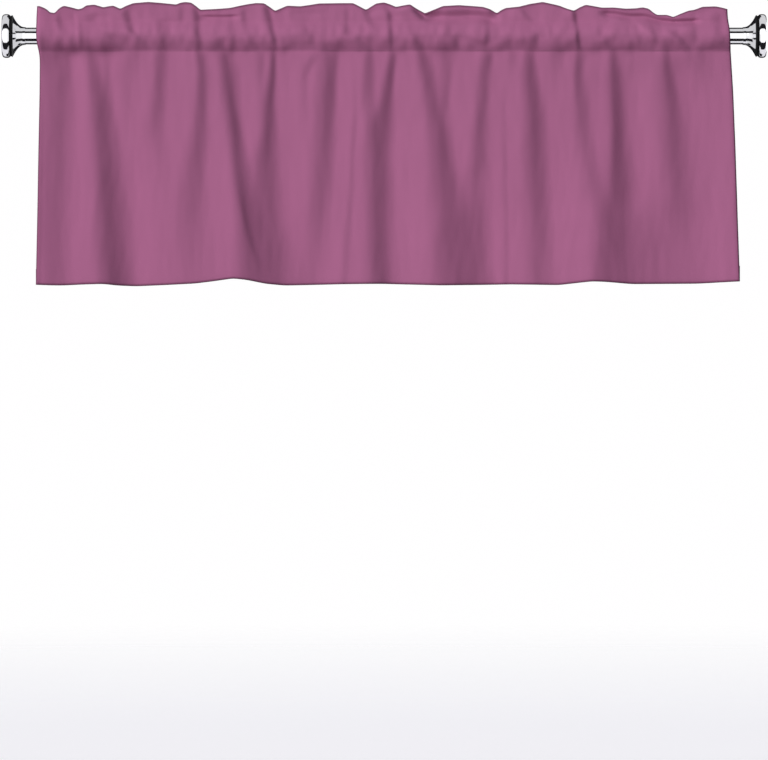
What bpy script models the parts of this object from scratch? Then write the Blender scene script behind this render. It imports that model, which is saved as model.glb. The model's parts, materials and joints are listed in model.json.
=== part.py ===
"""Rod-pocket valance curtain, gathered on a chrome rod with flared ends.

The origin is the centre of the left end's flat face, on the rod's axis. X runs
along the rod, the front of the cloth faces -Y and Z is up. Every size below is in
millimetres, and MM turns it into metres where the meshes are made.
"""

import math
from collections import namedtuple

import bmesh
import bpy

MM = 0.001

# The rod and its two turned ends
SPAN = 1274.0
ROD_RADIUS = 14.0
ROD_SIDES = 40
FIT_GAP = 0.3
DISC_RADIUS = 36.4
DISC_FACE_RADIUS = 30.0
DISC_THICKNESS = 14.0
GROOVE_WIDTH = 1.8
LIP_THICKNESS = 0.8
FLARE_RADIUS = 34.2
NECK_RADIUS = 15.0
NECK_AT = 39.0
SOCKET_DEPTH = 20.0
END_SIDES = 36
RIM_STEPS = 8
FLARE_STEPS = 7

# The cloth: its thickness, the heights of its stitch lines and its turned hem
CLOTH = 1.4
STITCH_Z = 24.0
SEAM_Z = -24.5
SEAM_HEIGHT = 2.0
HEM_Z = -415.0
HEM_DEPTH = 25.0
HEM_STEP = 2.0

# Heights at which the fold table gives its values
TOP_LEVEL = 50.0
MIDDLE_LEVEL = -220.0

# How the folds are carried: the hanging cloth lies round the plane y = PLANE_Y, the
# pocket's front stands off the rod with them, and the header waves less at its stitches.
PLANE_Y = 7.0
POCKET_SHARE = 0.5
BACK_PUFF = 12.0
STITCH_SHARE = 0.4
EDGE_SHARE = 0.9
TOP_FOLD_SHARE = 0.4

# How finely the cloth is divided: columns, and rows as shares of their stretch
COLUMNS = 94
BODY_ROWS = (0.85, 0.74, 0.63, 0.52, 0.41, 0.3, 0.2, 0.11, 0.04)
HEADER_ROWS = (0.45, 0.92)

# Meshing: the angle past which an edge is sharp, and the distance at which points join
SHARP_ANGLE = 40.0
WELD = 0.001

# The cloth's two side edges: the height, and where the left and the right edge lie
Edge = namedtuple("Edge", "z left right")
EDGES = (
    Edge(55, 58, 1209),
    Edge(15, 56.5, 1213),
    Edge(-13, 57.5, 1214),
    Edge(-30, 62, 1215),
    Edge(-100, 62.5, 1219),
    Edge(-187, 60.5, 1223),
    Edge(-310, 58.5, 1226.5),
    Edge(-415, 56, 1230),
)

# The folds, from left to right. Each has a steep side, which faces right, and a gentle
# one. The table gives where the steep side's middle lies at the top edge, the pocket's
# seam, mid-height and the hem, both sides' widths, and how far the fold stands out.
Fold = namedtuple(
    "Fold",
    "top_x seam_x middle_x hem_x steep gentle top_rise seam_rise middle_rise hem_rise",
)
FOLDS = (
    Fold(92, 102, 93, 88, 36, 55, 6, 11, 15, 14),
    Fold(162, 150, 168, 185, 34, 45, 5, 14, 22, 25),
    Fold(200, 223, 204, 200, 22, 40, 7, 10, 3, 0),
    Fold(225, 260, 268, 280, 26, 45, 3, 13, 8, 0),
    Fold(327, 328, 327, 320, 30, 60, 11, 16, 17, 12),
    Fold(392, 370, 392, 425, 30, 55, 4, 13, 19, 25),
    Fold(442, 457, 442, 433, 22, 60, 11, 18, 12, 0),
    Fold(497, 500, 500, 500, 22, 35, 4, 8, 0, 0),
    Fold(575, 553, 543, 520, 32, 70, 6, 14, 17, 8),
    Fold(607, 612, 607, 605, 26, 32, 8, 12, 8, 8),
    Fold(653, 652, 633, 630, 30, 40, 10, 16, 20, 22),
    Fold(705, 700, 730, 747, 28, 45, 8, 14, 15, 16),
    Fold(747, 742, 760, 780, 22, 25, 5, 8, 6, 8),
    Fold(825, 812, 795, 793, 28, 50, 10, 16, 15, 9),
    Fold(880, 880, 892, 897, 34, 60, 6, 16, 21, 21),
    Fold(955, 960, 983, 1003, 26, 60, 11, 17, 14, 12),
    Fold(1000, 1018, 1027, 1025, 34, 40, 6, 13, 20, 25),
    Fold(1072, 1110, 1125, 1140, 34, 70, 5, 14, 15, 7),
    Fold(1130, 1160, 1165, 1170, 26, 35, 6, 9, 4, 0),
)

# The ruffled top edge, from left to right: each ruffle starts with a dip, which is flat
# from dip_from to dip_to, and goes on to a crest, flat from crest_from to crest_to.
Ruffle = namedtuple("Ruffle", "dip_from dip_to dip_z crest_from crest_to crest_z")
RUFFLES = (
    Ruffle(40, 40, 44, 58, 60, 49),
    Ruffle(89, 89, 36, 103, 108, 48.5),
    Ruffle(127, 127, 43, 140, 154, 50.5),
    Ruffle(168, 168, 46, 183, 187, 49),
    Ruffle(197, 197, 43.5, 218, 265, 54.5),
    Ruffle(290, 290, 51, 303, 315, 55),
    Ruffle(328, 360, 42.5, 423, 438, 53.5),
    Ruffle(456, 456, 40, 475, 475, 49),
    Ruffle(496, 496, 48, 528, 585, 53),
    Ruffle(607, 607, 41.5, 623, 637, 54),
    Ruffle(657, 657, 47, 682, 682, 51),
    Ruffle(705, 705, 36, 735, 798, 49),
    Ruffle(825, 825, 36, 840, 850, 45),
    Ruffle(860, 860, 46.5, 900, 904, 55),
    Ruffle(953, 953, 40, 973, 973, 50.5),
    Ruffle(1000, 1040, 44, 1055, 1070, 46),
    Ruffle(1092, 1106, 33, 1108, 1110, 33.5),
    Ruffle(1118, 1118, 29.5, 1168, 1191, 48),
    Ruffle(1215, 1240, 42.5, 1250, 1260, 42.5),
)

# Where the hem rides up, how wide that is on its left and right, and by how much
Lift = namedtuple("Lift", "x left right rise")
LIFTS = (
    Lift(168, 55, 40, 3),
    Lift(385, 110, 75, 11.5),
    Lift(570, 60, 90, 2),
    Lift(847, 60, 50, 1.5),
    Lift(983, 45, 60, 6),
    Lift(1235, 120, 60, 7),
)

# Half of the pocket's section round the rod: the angle above the front, and the radius
# of the cloth's inner face, which rests on the rod's upper side and hangs free below it
PocketPoint = namedtuple("PocketPoint", "angle radius")
POCKET = (
    PocketPoint(-37, 15.6),
    PocketPoint(-18, 15.0),
    PocketPoint(0, 14.7),
    PocketPoint(18, 14.5),
    PocketPoint(37, 14.5),
)


def ease(share):
    """A smooth step from 0 to 1 as share goes from 0 to 1."""
    share = min(max(share, 0.0), 1.0)
    return share * share * (3.0 - 2.0 * share)


def along(position, points):
    """The eased value at a position between (position, value) points in rising order."""
    if position <= points[0][0]:
        return points[0][1]
    for (start, low), (end, high) in zip(points, points[1:]):
        if position <= end:
            return low + (high - low) * ease((position - start) / (end - start))
    return points[-1][1]


def at_height(top, seam, middle, hem, z):
    """A fold's value at the height z: straight above the seam, and one curve below it."""
    if z >= SEAM_Z:
        return seam + (top - seam) * min((z - SEAM_Z) / (TOP_LEVEL - SEAM_Z), 1.0)
    down = (SEAM_Z - z) / (SEAM_Z - HEM_Z)
    turn = (SEAM_Z - MIDDLE_LEVEL) / (SEAM_Z - HEM_Z)
    bow = (middle - seam - (hem - seam) * turn) / (turn * (turn - 1.0))
    return seam + (hem - seam) * down + bow * down * (down - 1.0)


def fold_rise(x, z):
    """How far the folds stand out towards the front at (x, z)."""
    total = 0.0
    for fold in FOLDS:
        rise = at_height(fold.top_rise, fold.seam_rise, fold.middle_rise, fold.hem_rise, z)
        middle = at_height(fold.top_x, fold.seam_x, fold.middle_x, fold.hem_x, z)
        crest = middle - fold.steep / 2.0
        if x < crest:
            side = ease(1.0 + (x - crest) / fold.gentle)
        else:
            side = 1.0 - ease((x - crest) / fold.steep)
        total += max(rise, 0.0) * side
    return total


def top_edge_z(x):
    """The height of the ruffled top edge."""
    heights = {}
    for ruffle in RUFFLES:
        heights[ruffle.dip_from] = ruffle.dip_z
        heights[ruffle.dip_to] = ruffle.dip_z
        heights[ruffle.crest_from] = ruffle.crest_z
        heights[ruffle.crest_to] = ruffle.crest_z
    return along(x, sorted(heights.items()))


def hem_z(x):
    """The height of the hem's lower edge."""
    lift = 0.0
    for row in LIFTS:
        width = row.left if x < row.x else row.right
        lift += row.rise * (1.0 - ease(abs(x - row.x) / width))
    return HEM_Z + lift


def column_x(share, z):
    """Where a column of the cloth, at a share of its width, lies at the height z."""
    left = along(-z, [(-edge.z, edge.left) for edge in EDGES])
    right = along(-z, [(-edge.z, edge.right) for edge in EDGES])
    return left + (right - left) * share


def layer(x, z, middle_y, front, back):
    """The front and back points of one row of the cloth."""
    return (x, middle_y - front, z), (x, middle_y + back, z)


def hanging_rows(share):
    """The front and back points below the pocket, from the hem up to its seam."""
    foot = hem_z(column_x(share, HEM_Z))
    seam_foot = SEAM_Z - SEAM_HEIGHT
    heights = [(foot, 2), (foot + HEM_DEPTH, 2), (foot + HEM_DEPTH + HEM_STEP, 1)]
    heights += [(seam_foot + (foot - seam_foot) * down, 1) for down in BODY_ROWS]
    heights.append((seam_foot, 2))
    rows = []
    for z, layers in heights:
        x = column_x(share, z)
        middle_y = PLANE_Y - fold_rise(x, z)
        rows.append(layer(x, z, middle_y, CLOTH / 2.0, CLOTH * (layers - 0.5)))
    return rows


def pocket_rows(share):
    """The pocket's outer and inner points, front and back, from its seam to its stitches."""
    outer = []
    inner = []
    for point in POCKET:
        angle = math.radians(point.angle)
        z = point.radius * math.sin(angle)
        x = column_x(share, z)
        rise = fold_rise(x, z)
        front_puff = POCKET_SHARE * rise
        back_puff = POCKET_SHARE * max(BACK_PUFF - rise, 0.0)
        reach = point.radius * math.cos(angle)
        wall_y = CLOTH * math.cos(angle)
        wall_z = CLOTH * math.sin(angle)
        inner.append(layer(x, z, 0.0, reach + front_puff, reach + back_puff))
        outer.append(layer(x, z + wall_z, 0.0, reach + wall_y + front_puff, reach + wall_y + back_puff))
    return outer, inner


def header_y(x, z, share):
    """The middle of the header's two layers."""
    return share * (PLANE_Y - fold_rise(x, z))


def header_rows(share):
    """The header's front and back points, from its stitches up to its folded edge."""
    x = column_x(share, STITCH_Z)
    rows = [layer(x, STITCH_Z, header_y(x, STITCH_Z, STITCH_SHARE), CLOTH, CLOTH)]
    edge_z = top_edge_z(column_x(share, TOP_LEVEL))
    for up in HEADER_ROWS + (1.0,):
        z = STITCH_Z + (edge_z - STITCH_Z) * up
        x = column_x(share, z)
        wave = STITCH_SHARE + (EDGE_SHARE - STITCH_SHARE) * up
        half = CLOTH * (TOP_FOLD_SHARE if up == 1.0 else 1.0)
        rows.append(layer(x, z, header_y(x, z, wave), half, half))
    return rows


def tunnel_ends(share):
    """The two lines where the pocket's layers meet, under and over the rod."""
    low_x = column_x(share, SEAM_Z)
    low = (low_x, PLANE_Y - fold_rise(low_x, SEAM_Z) + CLOTH / 2.0, SEAM_Z)
    high_z = STITCH_Z - SEAM_HEIGHT
    high_x = column_x(share, high_z)
    high = (high_x, header_y(high_x, high_z, STITCH_SHARE), high_z)
    return low, high


def wrapped_grid(bm, rings):
    """A grid wrapped into a tube through the rings; returns its vertices, ring by ring."""
    around = len(rings[0])
    made = bmesh.ops.create_grid(bm, x_segments=around - 1, y_segments=len(rings) - 1, size=1.0)
    verts = sorted(made["verts"], key=lambda vert: (vert.co.y, vert.co.x))
    table = [verts[i * around : (i + 1) * around] for i in range(len(rings))]
    for row, ring in zip(table, rings):
        for vert, point in zip(row, ring):
            vert.co = [value * MM for value in point]
    for row, following in zip(table, table[1:]):
        bm.faces.new((row[-1], row[0], following[0], following[-1]))
    return table


def cap(bm, outer, inner, hanging, pocket):
    """Closes one end of the cloth: a strip across its thickness, split round the tunnel."""
    count = len(outer)
    low = inner[0]
    high = inner[pocket + 1]
    seam = hanging - 1
    stitch = hanging + pocket
    for i in list(range(seam)) + list(range(stitch, count // 2 - 1)):
        bm.faces.new((outer[i], outer[i + 1], outer[count - 2 - i], outer[count - 1 - i]))
    for side in (1, -1):
        wall = [outer[i if side > 0 else count - 1 - i] for i in range(seam, stitch + 1)]
        lining = [low] + [inner[side * i] for i in range(1, pocket + 1)] + [high]
        for i in range(pocket + 1):
            bm.faces.new((wall[i], wall[i + 1], lining[i + 1], lining[i]))
    bm.faces.new((outer[seam], low, outer[count - 1 - seam]))
    bm.faces.new((outer[stitch], high, outer[count - 1 - stitch]))


def cloth_mesh(name):
    """The gathered cloth as one solid with a tunnel for the rod."""
    skins = []
    tunnels = []
    for column in range(COLUMNS):
        share = column / (COLUMNS - 1)
        hanging = hanging_rows(share)
        pocket, lining = pocket_rows(share)
        rows = hanging + pocket + header_rows(share)
        low, high = tunnel_ends(share)
        skins.append([front for front, _ in rows] + [back for _, back in reversed(rows)])
        tunnel = [low] + [front for front, _ in lining] + [high]
        tunnels.append(tunnel + [back for _, back in reversed(lining)])
    bm = bmesh.new()
    outer = wrapped_grid(bm, skins)
    inner = wrapped_grid(bm, tunnels)
    for end in (0, -1):
        cap(bm, outer[end], inner[end], len(hanging), len(pocket))
    bmesh.ops.recalc_face_normals(bm, faces=bm.faces)
    bmesh.ops.triangulate(bm, faces=bm.faces)
    return finished_mesh(name, bm)


def finished_mesh(name, bm):
    """Writes the bmesh into a new mesh, shaded smooth with its sharp edges kept."""
    mesh = bpy.data.meshes.new(name)
    bm.to_mesh(mesh)
    bm.free()
    mesh.shade_smooth()
    mesh.set_sharp_from_angle(angle=math.radians(SHARP_ANGLE))
    return mesh


def turned_mesh(name, profile, sides):
    """Turns a profile of (radius, height) points, both ends on the axis, round local Z."""
    bm = bmesh.new()
    verts = [bm.verts.new((radius * MM, 0.0, height * MM)) for radius, height in profile]
    edges = [bm.edges.new(pair) for pair in zip(verts, verts[1:])]
    bmesh.ops.spin(
        bm,
        geom=verts + edges,
        cent=(0.0, 0.0, 0.0),
        axis=(0.0, 0.0, 1.0),
        angle=2.0 * math.pi,
        steps=sides,
        use_merge=True,
    )
    bmesh.ops.remove_doubles(bm, verts=bm.verts, dist=WELD * MM)
    bmesh.ops.recalc_face_normals(bm, faces=bm.faces)
    return finished_mesh(name, bm)


def end_profile():
    """The end's outline, from its flat face round the disc and the flare into the socket."""
    profile = [(0.0, 0.0)]
    rim = DISC_RADIUS - DISC_FACE_RADIUS
    for i in range(RIM_STEPS + 1):
        turn = math.pi * i / RIM_STEPS
        height = DISC_THICKNESS * (1.0 - math.cos(turn)) / 2.0
        profile.append((DISC_FACE_RADIUS + rim * math.sin(turn), height))
    lip_at = DISC_THICKNESS + GROOVE_WIDTH
    flare_at = lip_at + LIP_THICKNESS
    profile.append((DISC_FACE_RADIUS, lip_at))
    profile.append((FLARE_RADIUS, lip_at))
    for i in range(FLARE_STEPS + 1):
        rest = 1.0 - i / FLARE_STEPS
        radius = NECK_RADIUS + (FLARE_RADIUS - NECK_RADIUS) * rest**2
        profile.append((radius, NECK_AT - (NECK_AT - flare_at) * rest))
    socket = ROD_RADIUS + FIT_GAP
    profile.append((socket, NECK_AT))
    profile.append((socket, NECK_AT - SOCKET_DEPTH))
    profile.append((0.0, NECK_AT - SOCKET_DEPTH))
    return profile


def rod_profile():
    """The rod as a plain bar, from its right end to its left."""
    length = SPAN - 2.0 * (NECK_AT - SOCKET_DEPTH + FIT_GAP)
    return [(0.0, length), (ROD_RADIUS, length), (ROD_RADIUS, 0.0), (0.0, 0.0)]


def material(name, colour, roughness, metallic):
    """A Principled material of one colour."""
    made = bpy.data.materials.new(name)
    made.use_nodes = True
    shader = made.node_tree.nodes["Principled BSDF"]
    shader.inputs["Base Color"].default_value = (*colour, 1.0)
    shader.inputs["Roughness"].default_value = roughness
    shader.inputs["Metallic"].default_value = metallic
    made.diffuse_color = (*colour, 1.0)
    return made


def place(name, mesh, look, x=0.0, turn_y=0.0):
    """Adds a named object, with its material, at x along the rod."""
    mesh.materials.clear()
    mesh.materials.append(look)
    obj = bpy.data.objects.new(name, mesh)
    obj.location.x = x * MM
    obj.rotation_euler.y = turn_y
    bpy.context.scene.collection.objects.link(obj)


def clear_scene():
    for obj in list(bpy.data.objects):
        bpy.data.objects.remove(obj)


def main():
    clear_scene()
    quarter = math.pi / 2.0
    plum = material("plum_cloth", (0.392, 0.127, 0.25), 0.85, 0.0)
    rod_chrome = material("rod_chrome", (0.8, 0.8, 0.82), 0.08, 1.0)
    left_chrome = material("left_end_chrome", (0.8, 0.8, 0.82), 0.06, 1.0)
    right_chrome = material("right_end_chrome", (0.8, 0.8, 0.82), 0.06, 1.0)
    place("valance", cloth_mesh("valance"), plum)
    rod_at = NECK_AT - SOCKET_DEPTH + FIT_GAP
    place("rod", turned_mesh("rod", rod_profile(), ROD_SIDES), rod_chrome, rod_at, quarter)
    left = turned_mesh("left_end", end_profile(), END_SIDES)
    right = turned_mesh("right_end", end_profile(), END_SIDES)
    place("left_end", left, left_chrome, 0.0, quarter)
    place("right_end", right, right_chrome, SPAN, -quarter)


main()
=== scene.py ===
"""Dresses a gathered rod-pocket valance on its chrome rod, laid out as an add-on.

Everything is in metres. The origin is the centre of the left end's flat face, X runs
along the rod, the front of the cloth faces -Y and Z is up.
"""

import json
import math

import bmesh
import bpy
import numpy as np
from bpy.props import FloatProperty, FloatVectorProperty, IntProperty, PointerProperty
from mathutils import Matrix, Vector, noise


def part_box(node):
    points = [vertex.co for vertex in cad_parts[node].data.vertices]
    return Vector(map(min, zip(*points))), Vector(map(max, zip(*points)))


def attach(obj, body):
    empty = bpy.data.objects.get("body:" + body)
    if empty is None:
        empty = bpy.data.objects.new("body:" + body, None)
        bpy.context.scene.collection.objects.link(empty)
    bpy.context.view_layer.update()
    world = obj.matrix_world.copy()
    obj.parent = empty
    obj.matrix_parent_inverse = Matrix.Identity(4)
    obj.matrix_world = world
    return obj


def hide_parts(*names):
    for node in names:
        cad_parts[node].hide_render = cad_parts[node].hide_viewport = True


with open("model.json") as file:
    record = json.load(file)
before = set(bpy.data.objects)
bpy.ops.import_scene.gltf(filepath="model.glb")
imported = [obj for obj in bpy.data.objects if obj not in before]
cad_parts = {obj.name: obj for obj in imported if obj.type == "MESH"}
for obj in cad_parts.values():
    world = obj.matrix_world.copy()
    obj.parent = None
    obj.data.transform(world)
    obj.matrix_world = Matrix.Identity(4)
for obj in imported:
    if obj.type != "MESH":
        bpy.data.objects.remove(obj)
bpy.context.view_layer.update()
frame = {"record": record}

SLOTS = {slot["slot"]: slot for slot in frame["record"]["materials"]}

bl_info = {
    "name": "Rod-pocket valance",
    "version": (1, 0, 0),
    "blender": (4, 5, 0),
    "location": "View3D > Sidebar > Valance",
    "description": "Makes a gathered valance on a chrome rod, and a plain stage for it",
    "category": "Object",
}

MM = 0.001

# Places on the front of the cloth are given in dots, 600 to a metre. A dot's x counts
# from ORIGIN_X, to the right, and its down counts from ORIGIN_DOWN, downwards.
DOTS_PER_METRE = 600.0
ORIGIN_X = 2.0
ORIGIN_DOWN = 35.7
FRAME_WIDE = 768.0
FRAME_HIGH = 760.0

# Heights of the two stitch lines and depth of the turned hem, in millimetres
STITCH_Z = 24.0
SEAM_Z = -24.5
HEM_DEPTH = 25.0
HEM_GAP = 1.5
HEADER_GAP = 2.8

# Radius, in millimetres, inside which the pocket's cloth never comes to the rod's axis
ROD_CLEAR = 15.0

# How much wider a fold or gather runs out than its marks say, and over how many columns
# the slow drift of its slopes is taken out
FOLD_REACH = 1.17
GATHER_REACH = 1.15
FOLD_DRIFT = 34.0
GATHER_DRIFT = 11.0

# Over how many dots marks blend into each other, and gathers and tucks fade at their ends
MARK_SPREAD = 5.0
GATHER_END = 4.0
TUCK_END = 12.0

# Where, in dots downwards, the gathers grow weaker and where the folds take over from
# them, each from a start over so many dots
WEAKER_SHARE = 0.3
WEAKER_START = 38.0
WEAKER_FADE = 8.0
FOLDS_START = 43.0
FOLDS_FADE = 14.0

# Heights of the small waves, in metres: fine ones, broad ones, and more in the header
FINE_WAVE = 0.0004
BROAD_WAVE = 0.0007
HEADER_WAVE = 0.0009
CRUMPLE_WAVE = 0.0007
BACK_WAVE = 0.0016

# How far in front of the rod's axis the cloth hangs, in metres: under the seam, a little
# below it, towards the hem, and in the header, which leans back
HANG_FRONT = 0.0056
HANG_SEAM = 0.0006
HANG_LOW = 0.001
HEADER_FRONT = 0.0036
HEADER_LEAN = 0.1

# About how far down the hem and the top edge lie, and how much their corners are rounded
HEM_DOWN = 283.0
TOP_DOWN = 8.0
HEM_SPREAD = 3.0
TOP_SPREAD = 0.8

# How far the side edges turn back, in metres, and over which share of the width
SIDE_TURN = 0.0016
SIDE_SHARE = 0.004

# The pocket's back: how much closer to the rod it lies than the front, how soon it comes
# away from the stitches, and the steps of its tail
BACK_CLOSER = 0.0008
BACK_FULL = 0.35
TAIL_STEP = 0.0022

# The turned ends, in metres: the disc, the groove beside it, the flare and its socket
DISC_THICK = 0.014
DISC_RIM = 0.0064
RIM_POWER = 0.72
GROOVE_WIDE = 0.0018
GROOVE_DEEP = 0.0012
LIP_ROUND = 0.0005
FLARE_STEPS = 24
FLARE_POWER = 2.3
NECK_WALL = 0.0008
NECK_ROUND = 0.0004
SOCKET_GAP = 0.0003
SOCKET_DEEP = 0.02
BAR_EDGE = 0.0004

# How far from its flat face an end is painted black: painted shade in its groove and a painted dark
# reflection on its flare's steep lip
PAINTED_BLACK_FROM = 0.01395
PAINTED_BLACK_TO = 0.0187

# The stage: the middle of the rod, the middles of the ends, how far inwards from them the
# cards across the rod stand, and the colours of all cards
ROD_MIDDLE = 0.637
LEFT_END_X = 0.02
RIGHT_END_X = 1.254
BESIDE = 0.25
CARD_STEPS = 16
WHITE = (1.0, 1.0, 1.0)
GREY = (0.72, 0.72, 0.73)
DARK = (0.012, 0.012, 0.014)

# The cards round each end, as (name, reach outwards, reach inwards, from and to in degrees
# above the front, distance from the axis, colour, strength)
END_CARDS = (
    ("front_", 6.0, 0.25, -37.0, 35.0, 0.6, WHITE, 1.25),
    ("upper_", 6.0, 0.25, 35.5, 64.0, 0.6, DARK, 1.0),
    ("lower_", 6.0, 0.25, -78.0, -37.5, 0.6, DARK, 1.0),
    ("behind_", 0.21, 0.21, 136.0, 224.0, 0.25, DARK, 1.0),
    ("neck_upper_", 0.002, 0.17, 110.0, 136.0, 0.25, DARK, 1.0),
    ("neck_lower_", 0.04, 0.6, 224.0, 250.0, 0.6, DARK, 1.0),
)

# The cards across the rod beside each end, as (name, turns of the two long edges in
# degrees above the front, how far back each edge reaches, colour)
FLARE_CARDS = (
    ("flare_front_", (-18.0, 18.0), (0.03, 0.03), WHITE),
    ("flare_upper_", (18.3, 33.0), (0.04, 0.08), DARK),
    ("flare_lower_", (-18.3, -39.0), (0.04, 0.09), DARK),
)

# How far in front of the rod these cards start, and how much less a flare turns what it
# mirrors than the rod does, as (place along the card against BESIDE, share)
CARD_FRONT = 0.6
FLARE_BEND = ((-2.4, 1.0), (-0.44, 0.81), (0.08, 0.69), (0.4, 0.6))

# How many rows of points each stretch of the cloth has, from the hem's raw edge, round
# the front and over the header, to the end of the turned-down part behind
COLUMNS = 436
HEM_BACK_ROWS = 4
HEM_FOLD_ROWS = 3
BODY_ROWS = 48
POCKET_ROWS = 13
HEADER_ROWS = 16
TOP_FOLD_ROWS = 3
HEADER_BACK_ROWS = 5
POCKET_BACK_ROWS = 11
TAIL_ROWS = 2

# Rows of the front at the pocket's seam and at the header's stitches
SEAM_ROW = BODY_ROWS
STITCH_ROW = BODY_ROWS + POCKET_ROWS

# Rows of the front, from its foot, among which the hem's turned-up edge ends
HEM_LOOK_ROWS = 12

# The front of the pocket round the rod, as (height, how far in front of the rod's axis),
# in millimetres
POCKET = (
    (-24.5, 7.0), (-19.0, 9.6), (-14.0, 13.0), (-9.0, 15.8), (-4.0, 17.3), (1.0, 17.5), (6.0, 16.4),
    (12.0, 12.9), (17.0, 9.2), (21.0, 5.9), (24.0, 3.6),
)

# The two side edges of the cloth, as (down, left x, right x)
SIDES = (
    (0, 36.8, 727.6), (9, 36.8, 727.7), (17, 36.1, 727.9), (26, 36.2, 729.4), (43, 36.6, 730.4),
    (50, 38.6, 730.8), (59, 39.7, 731.3), (92, 39.4, 733.4), (148, 38.3, 735.6), (222, 37.0, 738.0),
    (288, 35.6, 740.3),
)

# The ruffled top edge and the hem's lower edge, as (x, down)
TOP_EDGE = (
    (36, 7), (38, 6.4), (44, 8.6), (48, 11.2), (49.4, 13.0), (55.2, 13.8), (56.8, 11), (60, 8.2),
    (63.5, 6.4), (71, 8.1), (78, 10), (82, 9), (86, 6), (94, 5.3), (103, 8), (108, 7), (113, 6.3),
    (120, 9.6), (126, 6.4), (133, 3.8), (148, 2.6), (161, 3.6), (176, 5.2), (180, 3.4), (185, 2.6),
    (191, 3.3), (196, 7), (200, 10.4), (216, 9.7), (230, 8.6), (240, 6.4), (248, 4.8), (256, 3.7),
    (264, 4), (270, 8), (275, 11.6), (281, 9), (287, 6.4), (300, 7), (310, 5.6), (319, 4.1), (340, 3.8),
    (353, 3.8), (360, 7.4), (366, 10.6), (371, 7.4), (376, 4.2), (384, 3), (390, 5), (396, 7.6),
    (404, 6), (410, 5), (415, 8.4), (425, 14), (434, 10.4), (443, 6.7), (459, 5.8), (471, 6.6),
    (483, 7.6), (490, 9.8), (497, 14), (501, 11), (506, 8.6), (519, 7.4), (530, 4.6), (543, 2.6),
    (551, 4.4), (559, 6.2), (567, 9.4), (574, 11.5), (580, 8), (586, 5.4), (594, 6.8), (602, 8.3),
    (614, 8.2), (626, 9.4), (636, 9), (643, 8), (649, 9.4), (653, 13), (657, 15.6), (667, 15.6),
    (673, 17.8), (681, 14.4), (689, 11.3), (695, 10.4), (703, 7.4), (716, 7), (722, 8.2), (729, 10),
)
HEM_EDGE = (
    (34, 284.0), (48, 284.6), (61, 284.8), (84, 283.8), (103, 283.3), (117, 284.8), (136, 285.5),
    (169, 284.2), (195, 282.9), (214, 280.6), (233, 277.9), (247, 279.4), (266, 283.2), (285, 284.8),
    (344, 283.5), (384, 283.2), (441, 284.8), (510, 283.7), (559, 284.4), (576, 282.5), (592, 280.8),
    (606, 281.3), (632, 283.4), (698, 282.9), (742, 280.6),
)

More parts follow.
